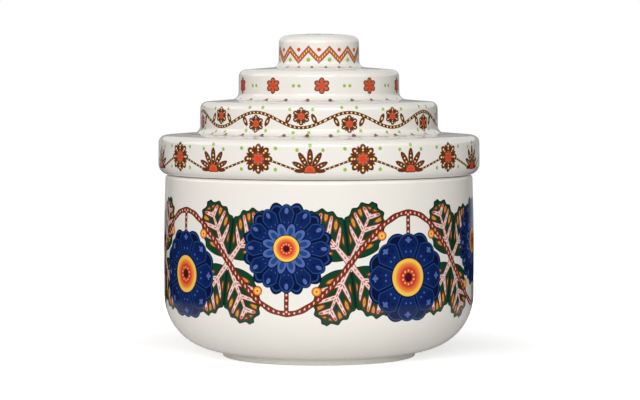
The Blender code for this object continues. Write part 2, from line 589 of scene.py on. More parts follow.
def petal(along, across, middle, reach, breadth):
    """About the distance to an oval petal.

    The distance to the oval's middle is measured in units of its reach along and its breadth across, so
    that it is 1 on the outline. One is taken off, and the breadth brings the rest back to millimetres.
    """
    return (length((along - middle) / reach, across / breadth) - 1) * breadth


def staggered(along, across, step):
    """The distance to the nearest point of a grid, and the number of that point's row.

    Every second row is shifted by half a step.
    """
    row = floor(along / step)
    shift = (row % 2) * (step / 2)
    return length(along % step - step / 2, (across + shift) % step - step / 2), row


print("small shapes are ready")

# %% [markdown]
# The colours are given as a screen shows them. A shader wants the light that each sends back, so
# every one goes through the screen's own curve.

# %% The colours of the print
def ink(red, green, blue):
    """A colour given from 0 to 255, turned into light.

    Each part's share of 255, plus 0.055, over 1.055, is raised to the power 2.4.
    """
    share = (np.array([red, green, blue]) / 255 + 0.055) / 1.055
    return (*share**2.4, 1.0)


COBALT = ink(14, 35, 88)
BRIGHT_COBALT = ink(18, 45, 108)
DEEP_COBALT = ink(15, 28, 70)
NAVY = ink(12, 20, 58)
PERIWINKLE = ink(82, 104, 168)
SKY = ink(33, 73, 132)
LEAF_GREEN = ink(21, 65, 42)
DARK_GREEN = ink(14, 42, 30)
PINK = ink(238, 206, 200)
SALMON = ink(222, 140, 108)
RED_BROWN = ink(138, 56, 40)
BRANCH = ink(128, 49, 32)
DARK_BRANCH = ink(96, 34, 22)
PALE_BEAD = ink(240, 200, 180)
GOLD = ink(216, 152, 60)
YELLOW = ink(250, 200, 84)
ORANGE = ink(238, 136, 56)
AMBER = ink(232, 104, 60)
RED = ink(206, 64, 56)
MAROON = ink(70, 22, 36)
RUSSET = ink(106, 50, 28)
LID_ORANGE = ink(208, 98, 52)
LID_RED = ink(224, 68, 50)
STRAW = ink(238, 226, 160)
SLATE = ink(72, 84, 96)
LIME = ink(150, 190, 64)
print("cobalt sends back", [round(float(part), 3) for part in COBALT[:3]])

# %% [markdown]
# The glaze. On the real jar it is a warm white, glossy and almost even. Up close its surface isn't flat:
# it flowed while it was molten, which leaves very shallow waves, and its white drifts a little in tone.
# The waves come from a Bump node, because they are a few hundredths of a millimetre high, and the tone
# from a slow noise. Under the foot ring there is no glaze, because it would stick to the shelf of the
# kiln, so there the dry clay shows.

# %% The white glaze
GLAZE_WHITE = (0.865, 0.838, 0.785, 1.0)
GLAZE_THICK = (0.80, 0.77, 0.705, 1.0)
GLAZE_ROUGHNESS = 0.09
GLAZE_IOR = 1.5
TONE_SCALE = 22
TONE_SHARE = 0.3
WAVE_SCALE = 70
WAVE_HEIGHT = 0.25 * MM
WAVE_STRENGTH = 0.2
CLAY_LIGHT = (0.72, 0.66, 0.58, 1.0)
CLAY_DARK = (0.60, 0.54, 0.46, 1.0)
CLAY_ROUGHNESS = 0.85
GRAIN_SCALE = 1400
GRAIN_HEIGHT = 0.1 * MM
GRAIN_STRENGTH = 0.4


def uneven(finish, height, strength, distance):
    """Lifts and sinks the surface by a height from 0 to 1, times the strength and the distance."""
    sockets = {"Strength": strength, "Distance": distance, "Height": height}
    finish.feed("Normal", finish.node("ShaderNodeBump", {}, sockets))


def glazed(name):
    """A finish with the white glaze on it, ready to be printed."""
    finish = Finish(name, GLAZE_WHITE)
    place = finish.place()
    tone = finish.noise(place, TONE_SCALE, 2)
    finish.paint(tone * TONE_SHARE, GLAZE_THICK)
    uneven(finish, finish.noise(place, WAVE_SCALE, 1), WAVE_STRENGTH, WAVE_HEIGHT)
    finish.feed("Roughness", GLAZE_ROUGHNESS)
    finish.feed("IOR", GLAZE_IOR)
    return finish


def fired(finish):
    """Ends a finish: what was painted becomes its base colour."""
    finish.feed("Base Color", finish.colour)
    print(finish.material.name, "has", len(finish.tree.nodes), "nodes")
    return finish.material


def bare_clay(name):
    """Fired clay without glaze, dry and finely grained."""
    finish = Finish(name, CLAY_LIGHT)
    grain = finish.noise(finish.place(), GRAIN_SCALE, 3)
    finish.paint(grain, CLAY_DARK)
    uneven(finish, grain, GRAIN_STRENGTH, GRAIN_HEIGHT)
    finish.feed("Roughness", CLAY_ROUGHNESS)
    return fired(finish)


plain_glaze = fired(glazed("plain_glaze"))
clay = bare_clay("bare_clay")

# %% [markdown]
# Where a print stands on the jar. A border is a row of equal cells round the jar, and a motif is drawn
# once, in the millimetres of its cell: across from the cell's middle and up from the border's. The angle
# round the axis, times the number of cells, gives the cell's number in its whole part. A pattern like this
# is drawn by hand before it is printed, so a slow noise first moves every point by a fraction of a
# millimetre, which keeps lines from being perfectly true.

# %% Cells round the jar
HAND_SCALE = 110


def drawn_place(finish, wobble):
    """The point's x, y and z in millimetres, moved by up to half the wobble either way."""
    place = finish.place()
    hand = finish.noise(place, HAND_SCALE, 1, "Color")
    amount, back = (wobble * MM,) * 3, (-0.5 * wobble * MM,) * 3
    hand = finish.vectors("MULTIPLY_ADD", {0: hand, 1: amount, 2: back})
    place = finish.vectors("ADD", {0: place, 1: hand})
    place = finish.vectors("SCALE", {0: place, "Scale": 1 / MM})
    parts = finish.node("ShaderNodeSeparateXYZ", {}, {0: place})
    return [Value(finish, output) for output in parts.socket.node.outputs]


def turns_in_cells(x, y, cells, start):
    """The angle round the jar, counted in cells, from a start angle in degrees to the right of the front."""
    return angle_of(x, -y) * (cells / (2 * pi)) - start * cells / 360


def in_cell(turn, cell_width):
    """How far across its cell a point lies from the cell's middle, and whether the cell's number is odd."""
    number = floor(turn)
    return (turn - number - 0.5) * cell_width, number % 2


def from_wave(across, up, swing, cell):
    """The height above a cosine wave with its crest in the cell's middle, and the distance from it.

    The distance is that height divided by the root of 1 plus the square of the wave's slope.
    """
    wave = across * (pi / cell)
    above = up - cosine(wave) * swing
    return above, above / length(sine(wave) * (swing * pi / cell), 1)


print("cells are ready")

# %% [markdown]
# The body's band is a scrolling vine, a common form on printed jars. One long wave runs round the belly,
# and a round blossom hangs in each of its hollows, once above and once below. Pairs of pointed leaves grow
# where the vine crosses the middle of the band. Every second cell is the first one upside down, so that
# one drawing serves all.

# %% Where the leaves grow
BAND_CELLS = 8
BAND_START = 11
BAND_MIDDLE = 49.9
BAND_CELL = 2 * pi * BELLY_RADIUS / MM / BAND_CELLS
BAND_WOBBLE = 0.5
LEAF_AXIS = radians(98)
LEAF_SPREAD = radians(31)


def leaf_place(turn, height):
    """How far a point lies along its leaf and across it, and how far beside the axis of its pair.

    Two leaves grow above each crossing of the vine and the same two, turned by half a turn, below it. A pair
    is mirrored about its own axis, so one leaf with its foot at the crossing stands for all four.
    """
    x, odd = in_cell(turn + 0.5, BAND_CELL)
    side = sign(height)
    x = x * side * (1 - 2 * odd)
    y = abs(height)
    axis_along = x * cos(LEAF_AXIS) + y * sin(LEAF_AXIS)
    beside = abs(y * cos(LEAF_AXIS) - x * sin(LEAF_AXIS))
    along = axis_along * cos(LEAF_SPREAD) + beside * sin(LEAF_SPREAD)
    across = abs(beside * cos(LEAF_SPREAD) - axis_along * sin(LEAF_SPREAD))
    return along, across, beside


print("a cell of the band is", round(BAND_CELL, 1), "mm wide")

# %% [markdown]
# A leaf is a dark green oval with lobes. Its rib and its side veins are broad pink strokes with a brown
# outline and a row of dashes in them, and a gold fleck lies between each vein and the next.

# %% A leaf
LEAF_LENGTH = 29.5
LEAF_MIDDLE = 16.49
LEAF_REACH = 13.41
LEAF_BREADTH = 10.2
LEAF_PARTING = 0.1
LEAF_OUTLINE = 0.45
LOBE_SWELL = 0.05
VEIN_STEP = 6.6
VEIN_SLANT = 0.8
VEIN_STEEP = VEIN_STEP / (1 + VEIN_SLANT**2) ** 0.5
VEIN_HALF = 1.3
VEIN_TAPER = 0.05
VEIN_INSET = 2.6
FIRST_VEIN = 0.95
LAST_VEIN = 4
VEIN_OUTLINE = 0.35
TIP_INSET = 2.3
TIP_RADIUS = 0.9
RIB_HALF = 1.6
RIB_TAPER = 1.1
RIB_SHARE = 0.84
DASH_STEP = 2.4
DASH_HALF = 0.65
DASH_THICK = 0.2
DASH_INSET = 0.7
FLECK_ROW = 6
FLECK_BEND = 0.9
FLECK_INSET = 1.4


def dashes(along, across):
    """The distance to a row of dashes, whose middles lie half a step past each whole one."""
    return most(abs(along % DASH_STEP - DASH_STEP / 2) - DASH_HALF, abs(across) - DASH_THICK)


def leaf(along, across, beside):
    """One leaf, with its foot at the origin.

    A side vein runs where along minus the slant times across is a half more than a whole number of steps.
    The oval swells and shrinks by a cosine of that number, so that every vein ends in a lobe. Veins and rib
    taper outwards, and the flecks lie on a line that bends towards the rib at both ends.
    """
    share = most(least(along / LEAF_LENGTH, 1), 0)
    number = (along - across * VEIN_SLANT) / VEIN_STEP
    oval = length((along - LEAF_MIDDLE) / LEAF_REACH, across / LEAF_BREADTH)
    edge = (oval * (cosine(number * (2 * pi)) * LOBE_SWELL + 1) - 1) * LEAF_BREADTH
    draw(edge, DARK_GREEN)
    inside = most(edge, LEAF_PARTING - beside)
    draw(inside + LEAF_OUTLINE, LEAF_GREEN)
    to_vein = abs(number % 1 - 0.5) * VEIN_STEEP
    vein = length(to_vein, most(inside + VEIN_INSET, 0)) - VEIN_HALF + across * VEIN_TAPER
    vein = most(vein, (FIRST_VEIN - number) * VEIN_STEP)
    vein = most(vein, (number - LAST_VEIN) * VEIN_STEP)
    rib = length(across, most(along - LEAF_LENGTH * RIB_SHARE, 0)) - RIB_HALF + share * RIB_TAPER
    stroke = least(vein, rib)
    draw(stroke, RED_BROWN)
    draw(stroke + VEIN_OUTLINE, PINK)
    draw(most(length(to_vein, edge + TIP_INSET) - TIP_RADIUS, stroke + VEIN_OUTLINE), SALMON)
    marks = least(dashes(across, to_vein), dashes(along, across))
    draw(most(marks, stroke + DASH_INSET), RED_BROWN)
    row = floor(number + 0.5)
    from_second = row - 2
    place = FLECK_ROW - from_second * from_second * FLECK_BEND
    fleck = petal(across - place, (number - row) * VEIN_STEEP, middle=0, reach=1.5, breadth=0.75)
    rings(most(fleck, inside + FLECK_INSET), [(0.3, RED_BROWN), (0, GOLD), (-0.6, RED_BROWN)])


print("a leaf is", LEAF_LENGTH, "mm long")

# %% [markdown]
# The vine itself is a cosine, and its distance is the height above the wave divided by the wave's
# steepness, which keeps the stem as thick on its slopes as on its crests. Beads follow it at equal steps
# of its own length. For a cosine that length is nearly the distance across, times a mean, less a small
# sine of twice the wave.

# %% The vine and its berries
VINE_SWING = 23.0
VINE_STEEPNESS = VINE_SWING * pi / BAND_CELL
VINE_HALF = 1.35
KNOT_RATE = 0.7
KNOT_SWELL = 0.14
STALK_HALF = 1.05
TWIG_HALF = 0.45
BARK = 0.3
BEAD_STEP = 2.6
BEAD_RADIUS = 0.48
BERRY_ACROSS = 14.0
BERRY_UP = 12.6
BERRY_RINGS = [(2.3, RED_BROWN), (1.95, ORANGE), (1.3, YELLOW), (0.5, RED)]


def vine(x, y):
    """The stem, the stalk down to the blossom, and two berries under the crest of the wave."""
    above, off = from_wave(x, y, VINE_SWING, BAND_CELL)
    mean_length = (1 + VINE_STEEPNESS**2 / 2) ** 0.5
    lag = VINE_STEEPNESS**2 / mean_length * BAND_CELL / pi / 8
    along = x * mean_length - sine(x * (2 * pi / BAND_CELL)) * lag
    stem = abs(off) - VINE_HALF - cosine(along * KNOT_RATE) * KNOT_SWELL
    stalk = most(most(abs(x) - STALK_HALF, y - VINE_SWING), -y)
    twig = most(most(abs(abs(x) - BERRY_ACROSS) - TWIG_HALF, above), BERRY_UP - y)
    wood = least(least(stem, stalk), twig)
    draw(wood, DARK_BRANCH)
    draw(wood + BARK, BRANCH)
    stalk_beads = beads(y, x, BEAD_STEP, BEAD_RADIUS) + (1 - cover(stalk + BARK)) * FAR_OFF
    draw(least(beads(along, off, BEAD_STEP, BEAD_RADIUS), stalk_beads), PALE_BEAD)
    rings(length(abs(x) - BERRY_ACROSS, y - BERRY_UP), BERRY_RINGS)


print("the vine climbs by up to", round(float(np.degrees(np.arctan(VINE_STEEPNESS))), 1), "degrees")

# %% [markdown]
# A blossom is drawn in one petal. The angle round its middle is folded there and back between the middle
# line of a petal and the line that parts it from the next, so the same oval serves every petal, and the
# same fold counted from the other side gives the petals behind. Even cells have eight broad petals, and
# odd cells twelve narrow ones with one more layer inside.

# %% The petals
BLOSSOM_REACH = 20
BROAD_PETALS = 8
NARROW_PETALS = 12
BROAD_BREADTH = 6.4
NARROW_BREADTH = 4.2
PETAL_PARTING = 0.32
SPECK_STEP = 2.45
SPECK_RADIUS = 0.42
SPECK_INSET = 1.5
PETAL_STOPS = [(0.35, BRIGHT_COBALT), (0.7, COBALT), (1.0, DEEP_COBALT)]


def shaded(value, stops):
    """The colour that a row of stops gives for a value from 0 to 1."""
    return value.web.node("ShaderNodeValToRGB", {"stops": stops}, {"Fac": value})


def petal_layers(x, y, odd):
    """Two layers of petals, a third inside them in odd cells, and specks in staggered rows."""
    half = pi / BROAD_PETALS - odd * (pi / BROAD_PETALS - pi / NARROW_PETALS)
    away, on, between = folded(x, y, half)
    breadth = BROAD_BREADTH - odd * (BROAD_BREADTH - NARROW_BREADTH)
    back = petal(*between, middle=11.6, reach=8.3, breadth=breadth)
    draw(back, NAVY)
    draw(line_inside(back, inset=0.75, half=0.2), SKY)
    front = most(petal(*on, middle=10.6, reach=8.2, breadth=breadth), PETAL_PARTING - between[1])
    shade = shaded(away / BLOSSOM_REACH, PETAL_STOPS)
    rings(front, [(0, DEEP_COBALT), (-0.55, shade)])
    draw(line_inside(front, inset=0.4, half=0.16), SKY)
    near, row = staggered(*on, SPECK_STEP)
    specks = cover(near - SPECK_RADIUS) * cover(front + SPECK_INSET)
    specks.web.paint(specks * (1 - row % 2), PERIWINKLE)
    specks.web.paint(specks * (row % 2), NAVY)
    draw(petal(*on, middle=15.9, reach=1.3, breadth=0.8), PERIWINKLE)
    inner = petal(*between, middle=7.4, reach=3.8, breadth=2.1) + (1 - odd) * FAR_OFF
    rings(inner, [(0, NAVY), (-0.3, PERIWINKLE), (-1.1, SKY)])


print("petals reach", BLOSSOM_REACH, "mm from the middle")

# %% [markdown]
# A blossom's middle is a disc of warm rings, from maroon through red and orange to yellow, with a ring of
# seeds on it. A ramp gives the rings, so that each colour runs softly into the next. Odd cells have a
# smaller disc, which leaves room for their third layer of petals.

# %% The blossom
BLOSSOM_DROP = 7.0
BLOSSOM_SIZE = 1.09
CENTRE_RADIUS = 8.0
CENTRE_SHRINK = 0.45
SEEDS = 10
CENTRE_STOPS = [
    (0.0, MAROON),
    (0.22, MAROON),
    (0.27, RED),
    (0.5, RED),
    (0.6, AMBER),
    (0.72, ORANGE),
    (0.86, YELLOW),
    (1.0, YELLOW),
]


def blossom(x, y, odd):
    """A round blossom of overlapping petals about a centre of warm rings.

    Its petals reach to 20 mm times its size.
    """
    x, y = x / BLOSSOM_SIZE, y / BLOSSOM_SIZE
    petal_layers(x, y, odd)
    stretch = 1 + odd * CENTRE_SHRINK
    centre, on, _ = folded(x * stretch, y * stretch, pi / SEEDS)
    warm = shaded(centre / CENTRE_RADIUS, CENTRE_STOPS)
    rings(centre, [(CENTRE_RADIUS + 0.5, NAVY), (CENTRE_RADIUS, warm)])
    draw(spot(*on, middle=2.9, radius=0.42), YELLOW)


print("a blossom is", round(2 * BLOSSOM_REACH * BLOSSOM_SIZE, 1), "mm across")

# %% [markdown]
# The body's outer wall is one finish, glazed and then printed. The leaves are drawn first, the vine over
# them and the blossoms over both, so nothing has to be cut out to make room.

# %% Print the body
def body_print():
    """The glaze, then leaves, vine and blossoms, each over the last."""
    finish = glazed("printed_body_glaze")
    x, y, z = drawn_place(finish, BAND_WOBBLE)
    turn = turns_in_cells(x, y, BAND_CELLS, BAND_START)
    height = z - BAND_MIDDLE
    leaf(*leaf_place(turn, height))
    across, odd = in_cell(turn, BAND_CELL)
    up = height * (1 - 2 * odd)
    vine(across, up)
    blossom(across, up + BLOSSOM_DROP, odd)
    return fired(finish)


printed_body = body_print()

# %% [markdown]
# The lid wears a border on the side of every step and a small one on every top, in russet, orange and
# lime. They are the stock of folk borders: rosettes and fans on a garland, a wavy stem with florets,
# single florets, and a zigzag round the knob. On a side, up is the height above the border's middle, and
# on a top it is the way outwards from it.

# %% Flowers for the borders
ROSETTE_RING = 4.6
ROSETTE_GAP = 0.2
FAN_FOOT = 5.4
FAN_STRETCH = 0.25
FAN_FOLD = radians(16)
FAN_END = radians(78)
FAN_TIPS_END = radians(50)
FAN_CUT = 8


def rosette(x, y, petals, size):
    """A round flower with rays between its petals, a warm heart and a ring of beads.

    Its petals reach to 7 mm times the size. Each is as broad as the ring of their middles has room for: the
    ring's radius times the sine of half a petal's angle, less a gap.
    """
    away, on, between = folded(x / size, y / size, pi / petals)
    disc, heart, eye = [away - radius for radius in (3.3, 2.9, 1.5)]
    breadth = ROSETTE_RING * sin(pi / petals) - ROSETTE_GAP
    shape = petal(*on, middle=ROSETTE_RING, reach=2.4, breadth=breadth)
    rays = petal(*between, middle=4.4, reach=2.0, breadth=0.7)
    draw(least(least(shape, rays), disc) * size, RUSSET)
    draw(spot(*on, middle=5.2, radius=0.55) * size, STRAW)
    draw(spot(*on, middle=3.9, radius=0.4) * size, STRAW)
    draw(heart * size, LID_ORANGE)
    draw(eye * size, LID_RED)
    draw(spot(*between, middle=2.5, radius=0.5) * size, SLATE)


def fan(x, y):
    """Five petals that spread upwards from a half disc, over two small leaves.

    The side petals are shorter, because the distance from the foot is stretched by a share of one minus the
    cosine of the angle.
    """
    y = y + FAN_FOOT
    turn, near = angle_of(x, y), length(x, y)
    away = near * (1 + FAN_STRETCH - cosine(turn) * FAN_STRETCH)
    on = spoke(away, there_and_back(turn, FAN_FOLD))
    shape = petal(*on, middle=6.3, reach=4.0, breadth=1.4)
    shape = most(shape, (abs(turn) - FAN_END) * FAN_CUT)
    leaves = petal(abs(x), y, middle=4.6, reach=2.6, breadth=0.95)
    heart, eye = [most(near - radius, -below - y) for radius, below in ((2.9, 1.1), (1.4, 0.4))]
    heart_edge, beads_edge, beads_start = 0.45, 0.7, 3.2
    draw(least(least(shape, leaves), heart), RUSSET)
    tips = spot(*on, middle=11.7, radius=0.85)
    draw(most(tips, (abs(turn) - FAN_TIPS_END) * FAN_CUT), LIME)
    row = most(beads(*on, step=1.9, radius=0.42), shape + beads_edge)
    draw(most(row, beads_start - on[0]), STRAW)
    draw(heart + heart_edge, LID_ORANGE)
    draw(eye, LID_RED)


print("a fan's petals end", round(float(np.degrees(FAN_END))), "degrees from straight up")

# %% [markdown]
# Each border is one small function that draws a cell. Its turn counts the cells round the lid, so that the
# whole part numbers them and every second one can differ or hang upside down. The tall rim step wears a
# garland of rosettes and fans, and the step above it a wavy stem with florets.

# %% The borders of the two lower steps
def garland(turn, up, cell):
    """Rosettes and fans by turns, on a beaded line that swings down under each fan."""
    swing, half, dots_up = 2.9, 0.55, 4.8
    across, odd = in_cell(turn, cell)
    to_fan = there_and_back(turn + 0.5, 1)
    off = abs(up + swing + cosine(to_fan * pi) * swing)
    draw(off - half, RUSSET)
    draw(beads(across, off, step=2.0, radius=0.33), STRAW)
    dots = spot(abs(across), abs(up) - dots_up, middle=8.4, radius=0.85)
    draw(dots + odd * FAR_OFF, LIME)
    rosette(across + odd * FAR_OFF, up, petals=8, size=1.0)
    fan(across + (1 - odd) * FAR_OFF, up)


def wavy_stem(turn, up, cell):
    """A stem in waves, with a floret in each hollow, small leaves beside it and dots outside the crests."""
    half, leaf_aside, leaf_up, lean_cosine, lean_sine = 0.75, 6.3, -0.2, 0.9, 0.43
    high_up, low_up, floret_up = 5.8, -5.0, -1.8
    across, odd = in_cell(turn, cell)
    up = up * (1 - 2 * odd)
    _, off = from_wave(across, up, swing=3.5, cell=cell)
    aside, below = abs(across) - leaf_aside, leaf_up - up
    along_leaf = below * lean_cosine - aside * lean_sine
    across_leaf = aside * lean_cosine + below * lean_sine
    leaves = petal(along_leaf, across_leaf, middle=0.5, reach=2.5, breadth=1.1)
    draw(least(abs(off) - half, leaves), RUSSET)
    draw(least(beads(across, off, step=2.0, radius=0.4), leaves + half), STRAW)
    high = spot(abs(across), up - high_up, middle=3.6, radius=0.8)
    low = spot(abs(across), up - low_up, middle=5.4, radius=0.8)
    draw(least(high, low), LIME)
    rosette(across, up - floret_up, petals=6, size=0.6)


print("a garland and a wavy stem are ready")

# %% [markdown]
# The upper step and the knob are narrow, so their borders are simpler: single florets, and a zigzag, which
# is the turn itself, folded so that it climbs through one cell and falls through the next.

# %% The borders of the upper step and the knob
def single_florets(turn, up, cell):
    """A six-petal floret in each cell, with lime dots on both sides of the line between cells."""
    across, _ = in_cell(turn, cell)
    draw(spot(cell / 2 - abs(across), up, middle=1.4, radius=0.8), LIME)
    away, on, between = folded(across, up, pi / 6)
    shape = petal(*on, middle=2.1, reach=1.45, breadth=1.1)
    rings(shape, [(0.3, RUSSET), (-0.15, LID_ORANGE)])
    rings(away, [(1.2, LID_RED)])
    draw(spot(*between, middle=1.8, radius=0.45), SLATE)


def zigzag(turn, up, cell):
    """A beaded zigzag, with a red dot in each triangle above it and a lime one in each below.

    The height from the line is brought to a true distance by the cosine of the line's slope.
    """
    swing, half = 5.4, 1.15
    slant = 1 / (1 + (swing / cell) ** 2) ** 0.5
    off = (up - (there_and_back(turn, 1) - 0.5) * swing) * slant
    rings(abs(off), [(half, RUSSET), (half - 0.35, LID_ORANGE)])
    draw(beads(turn * (cell / slant), off, step=1.6, radius=0.36), STRAW)
    across, odd = in_cell(turn + 0.5, cell)
    dot = spot(up * (1 - 2 * odd), across, middle=2.4, radius=0.95)
    draw(dot + odd * FAR_OFF, LID_RED)
    draw(dot + (1 - odd) * FAR_OFF, LIME)


print("florets and a zigzag are ready")

# %% [markdown]
# The tops of the steps are seen at a glance, so a ring of small florets is enough for each. Only the
# knob's crown is looked at from above, and it wears a rosette in a beaded band and a wreath.

# %% The borders of the tops
RING_CELL = 11.5
WREATH_LEAVES = 14


def small_ring(turn, up, cell):
    """Four-petal florets with lime dots between them, in a size that suits the cell's width."""
    size = cell / RING_CELL
    across, _ = in_cell(turn, cell)
    draw(spot(cell / 2 - abs(across), up, middle=0, radius=0.75 * size), LIME)
    away, on, _ = folded(across, up, pi / 4)
    draw(petal(*on, middle=2.3 * size, reach=2.1 * size, breadth=1.25 * size), RUSSET)
    rings(away, [(1.1 * size, LID_ORANGE)])


def crown(x, y):
    """One rosette on the middle of the knob, in a beaded band and a wreath of small leaves and dots."""
    away, on, between = folded(x, y, pi / WREATH_LEAVES)
    band_radius, band_half = 10.3, 1.5
    wreath = petal(*on, middle=13.4, reach=2.3, breadth=1.35)
    rings(wreath, [(0, RUSSET), (-0.6, LID_ORANGE)])
    draw(spot(*between, middle=13.6, radius=0.7), LIME)
    draw(abs(away - band_radius) - band_half, RUSSET)
    draw(spot(*between, middle=band_radius, radius=0.6), STRAW)
    rosette(x, y, petals=8, size=1.2)


print("the wreath has", WREATH_LEAVES, "leaves")

# %% [markdown]
# The list of the lid's borders runs from the rim step up to the knob. A border holds a whole number of
# cells, and its cell is as wide as the way round the lid at its radius, divided by that number.

# %% Print the lid
HAND_WOBBLE = 0.25


def border_print(name, border, cells, middle, start=0, radius=None):
    """A border of so many cells round the lid, whose first cell begins at a start angle.

    On a side its middle is a height in millimetres. On a top, for which no radius is given, it is a radius.
    """
    finish = glazed(name)
    x, y, z = drawn_place(finish, HAND_WOBBLE)
    turn = turns_in_cells(x, y, cells, start)
    if radius is None:
        border(turn, length(x, y) - middle, 2 * pi * middle / cells)
    else:
        border(turn, z - middle, 2 * pi * radius / MM / cells)
    return fired(finish)


def crown_print():
    """The knob's top."""
    finish = glazed("knob_crown")
    x, y, _ = drawn_place(finish, HAND_WOBBLE)
    crown(x, y)
    return fired(finish)


lid_prints = [
    border_print("rim_side", garland, cells=20, middle=98.0, start=6, radius=LID_RADIUS),
    border_print("rim_top", small_ring, cells=34, middle=62.9),
    border_print("middle_side", wavy_stem, cells=16, middle=115.3, start=3, radius=MIDDLE_STEP_RADIUS),
    border_print("middle_top", small_ring, cells=24, middle=44.3),
    border_print("upper_side", single_florets, cells=10, middle=131.0, start=20, radius=UPPER_STEP_RADIUS),
    border_print("upper_top", small_ring, cells=20, middle=23.4),
    border_print("knob_side", zigzag, cells=24, middle=145.6, radius=KNOB_RADIUS),
    crown_print(),
]

# %% [markdown]
# The body takes its coats. The rows where a coat begins are found by a radius and a height. The flat map
# gives the printed wall two strips of half a turn each, and a weight that gives its millimetres the most
# pixels.

# %% Make the body
UNDERSIDE_TOP = 1.5 * MM
PRINT_FOOT = (68 * MM, 12 * MM)
PRINT_TOP = 80 * MM
HIDDEN_WEIGHT = 0.5
HEEL_WEIGHT = 0.7
PRINT_WEIGHT = 2.0
RIM_WEIGHT = 0.8
UNDERSIDE_END = row_at(body_section, FOOT_RADIUS, UNDERSIDE_TOP)
PRINT_LOW = row_at(body_section, *PRINT_FOOT)
PRINT_HIGH = row_at(body_section, BELLY_RADIUS, PRINT_TOP)
RIM_ROW = row_at(body_section, RIM_RADIUS - BODY_WALL / 2, RIM_HEIGHT)
body_bands = [
    (0, UNDERSIDE_END, 1, HIDDEN_WEIGHT),
    (UNDERSIDE_END, PRINT_LOW, 1, HEEL_WEIGHT),
    (PRINT_LOW, PRINT_HIGH, 2, PRINT_WEIGHT),
    (PRINT_HIGH, RIM_ROW, 1, RIM_WEIGHT),
    (RIM_ROW, len(body_section) - 1, 1, HIDDEN_WEIGHT),
]
body_coats = [
    (plain_glaze, 0),
    (clay, row_at(body_section, FOOT_RADIUS - FOOT_WIDTH + FOOT_ROUND, 0)),
    (plain_glaze, row_at(body_section, FOOT_RADIUS - FOOT_ROUND, 0)),
    (printed_body, PRINT_LOW),
    (plain_glaze, PRINT_HIGH),
]
glazed_body = turned("glazed_body", body_section, body_bands, body_coats)
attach(glazed_body, "jar")
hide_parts("jar_body")

# %% [markdown]
# The lid takes a coat for each side and each top, which change over at the rounded edges and in the
# fillets. Its hollow and its flange stay plain. The lid stood in the kiln on its flange, so the flange's
# lowest ring is bare.

# %% Make the lid
HOLLOW_WEIGHT = 0.4
TOP_WEIGHT = 1.0
SEAT_ROW = row_at(lid_section, (flange_radius + LID_RADIUS) / 2, seat_height)
steps = [
    (LID_RADIUS, SEAT + RIM_STEP_LOWER_EDGE / 2, rim_top),
    (MIDDLE_STEP_RADIUS, rim_top + STEP_RISE, middle_top),
    (UPPER_STEP_RADIUS, middle_top + STEP_RISE, upper_top),
    (KNOB_RADIUS, upper_top + STEP_RISE, knob_top),
]
lid_coats = [
    (plain_glaze, 0),
    (clay, row_at(lid_section, flange_radius - LID_WALL + FLANGE_ROUND / 2, lid_low.z)),
    (plain_glaze, row_at(lid_section, flange_radius - FLANGE_ROUND / 2, lid_low.z)),
]
lid_bands = [(0, SEAT_ROW, 1, HOLLOW_WEIGHT)]
last_row = SEAT_ROW
for (radius, foot_height, top_height), side, top in zip(steps, lid_prints[::2], lid_prints[1::2]):
    side_row = row_at(lid_section, radius, foot_height)
    top_row = row_at(lid_section, radius, top_height)
    strips = 2 if radius > UPPER_STEP_RADIUS else 1
    lid_coats += [(side, side_row), (top, top_row)]
    lid_bands += [(last_row, side_row, 1, TOP_WEIGHT), (side_row, top_row, strips, PRINT_WEIGHT)]
    last_row = top_row
lid_bands += [(last_row, len(lid_section) - 1, 1, TOP_WEIGHT)]
glazed_lid = turned("glazed_lid", lid_section, lid_bands, lid_coats)
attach(glazed_lid, "lid")
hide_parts("lid")

# %% [markdown]
# The camera stands where the photographer's stood: level with the knob, about 1.3 metres away, with a long
# lens, looking slightly down at the jar's middle.

# %% The camera
CAMERA_DISTANCE = 1.291
CAMERA_HEIGHT = 0.1436
CAMERA_ASIDE = 0.5 * MM
AIM_HEIGHT = 0.07535
LENS = 150.1
SENSOR_WIDTH = 36

camera = placed("camera", bpy.data.cameras.new("camera"))
camera.data.lens = LENS
camera.data.sensor_width = SENSOR_WIDTH
camera.location = (CAMERA_ASIDE, -CAMERA_DISTANCE, CAMERA_HEIGHT)
aim = Vector((CAMERA_ASIDE, 0, AIM_HEIGHT))
camera.rotation_euler = (aim - camera.location).to_track_quat("-Z", "Y").to_euler()
bpy.context.scene.camera = camera
print("camera looks down by", round(float(np.degrees(pi / 2 - camera.rotation_euler.x)), 2), "degrees")

# %% [markdown]
# The stage is a round white table with broad soft lamps round its front. The table glows a little to the
# camera alone, more towards its edge, so that it runs into the white ground behind and still keeps the
# jar's shadow. Close round the foot it glows faintly to every ray, which lifts the darkest part of the
# heel.

# %% The table
TABLE_RADIUS = 0.5
TABLE_WHITE = (0.87, 0.87, 0.87, 1)
GLOW_REACH = (0.06, 0.3)
GLOW = (0.56, 1.0)
FOOT_GLOW_REACH = (0.046, 0.066)
FOOT_GLOW = (0.06, 0.0)
STAGE_ROUGHNESS = 0.9
STAGE_SIDES = 96
stage_angles = np.arange(STAGE_SIDES) * 2 * pi / STAGE_SIDES
circle = np.stack([np.cos(stage_angles), np.sin(stage_angles), np.zeros(STAGE_SIDES)], 1)


def stage_piece(name, vertices, faces, colour):
    """A matt piece of the stage."""
    piece = mesh_piece(name, vertices, faces)
    finish = Finish(name, colour)
    finish.feed("Base Color", colour)
    finish.feed("Roughness", STAGE_ROUGHNESS)
    finish.feed("Specular IOR Level", 0.0)
    piece.data.materials.append(finish.material)
    return piece, finish


def away_from_axis(finish):
    """How far a point lies from the jar's middle, in metres."""
    return finish.vectors("LENGTH", {0: finish.place()}, "Value")


